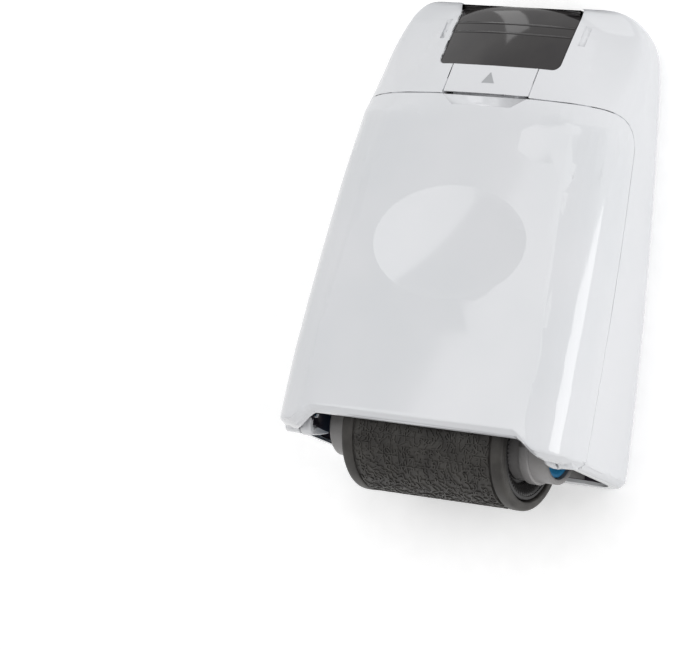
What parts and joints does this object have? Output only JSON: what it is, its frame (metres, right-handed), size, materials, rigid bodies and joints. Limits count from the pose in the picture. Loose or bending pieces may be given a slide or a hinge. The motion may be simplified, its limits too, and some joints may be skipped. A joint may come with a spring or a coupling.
{
  "type": "privacy roller stamp",
  "caption": "Hand-held roller stamp with a wedge-shaped shell, a wide patterned rubber roller fed by an ink roller, a sliding top knob, a latch tab and a hinged front cover.",
  "frame": {"origin": "middle of the flat back, on which the stamp lies", "axes": "+X across the body to its right flank, +Y along the body from the roller's mouth to the top end, +Z from the flat back to the face"},
  "size_m": [0.0762, 0.1141, 0.0379],
  "materials": {
    "shell_white": "glossy moulded shell",
    "knob_dark": "glossy dark plastic",
    "frame_grey": "satin light grey plastic",
    "cap_blue": "satin blue plastic",
    "stamp_rubber": "dark grey stamp rubber",
    "drum_black": "black plastic",
    "bush_acetal": "off-white acetal",
    "steel": "plain steel",
    "ink_foam": "inked felt"
  },
  "bodies": {
    "housing": {"rear_housing": "shell_white", "cover_pin_left": "steel", "cover_pin_right": "steel", "latch_pin": "steel", "latch_spring": "steel"},
    "carriage": {"carriage": "frame_grey", "top_knob": "knob_dark", "knob_screw_left": "steel", "knob_screw_right": "steel", "cartridge_side_left": "frame_grey", "cartridge_side_right": "frame_grey", "cartridge_hood": "frame_grey", "hub_cap_left": "cap_blue", "hub_cap_right": "cap_blue", "stamp_axle": "steel", "ink_axle": "steel"},
    "stamp_roller": {"stamp_sleeve": "stamp_rubber", "drum_core": "drum_black", "toothed_ring_left": "drum_black", "toothed_ring_right": "drum_black", "bush_left": "bush_acetal", "bush_right": "bush_acetal"},
    "ink_roller": {"ink_foam": "ink_foam", "ink_core": "drum_black", "ink_flange_left": "drum_black", "ink_flange_right": "drum_black"},
    "front_cover": {"front_cover": "shell_white"},
    "latch_tab": {"latch_tab": "shell_white"}
  },
  "joints": [
    {"name": "knob_slide", "type": "slide", "parent": "housing", "child": "carriage", "axis": [0, 1, 0], "range_m": [0, 0.0125]},
    {"name": "stamp_roller_spin", "type": "hinge", "parent": "carriage", "child": "stamp_roller", "pos_m": [0, -0.04645, 0.0175], "axis": [1, 0, 0], "continuous": true},
    {"name": "ink_roller_spin", "type": "hinge", "parent": "carriage", "child": "ink_roller", "pos_m": [0, -0.02385, 0.0175], "axis": [1, 0, 0], "continuous": true},
    {"name": "cover_hinge", "type": "hinge", "parent": "housing", "child": "front_cover", "pos_m": [0, -0.04491, 0.02721], "axis": [1, 0, 0], "range_deg": [0, 50]},
    {"name": "latch_press", "type": "hinge", "parent": "housing", "child": "latch_tab", "pos_m": [0, 0.03335, 0.01938], "axis": [1, 0, 0], "range_deg": [0, 5], "stiffness_Nm_per_rad": 0.04, "springref_deg": -5.73, "deforming": ["latch_spring"]}
  ],
  "couplings": [
    {"joint": "ink_roller_spin", "follows": "stamp_roller_spin", "ratio": -1.7875}
  ]
}
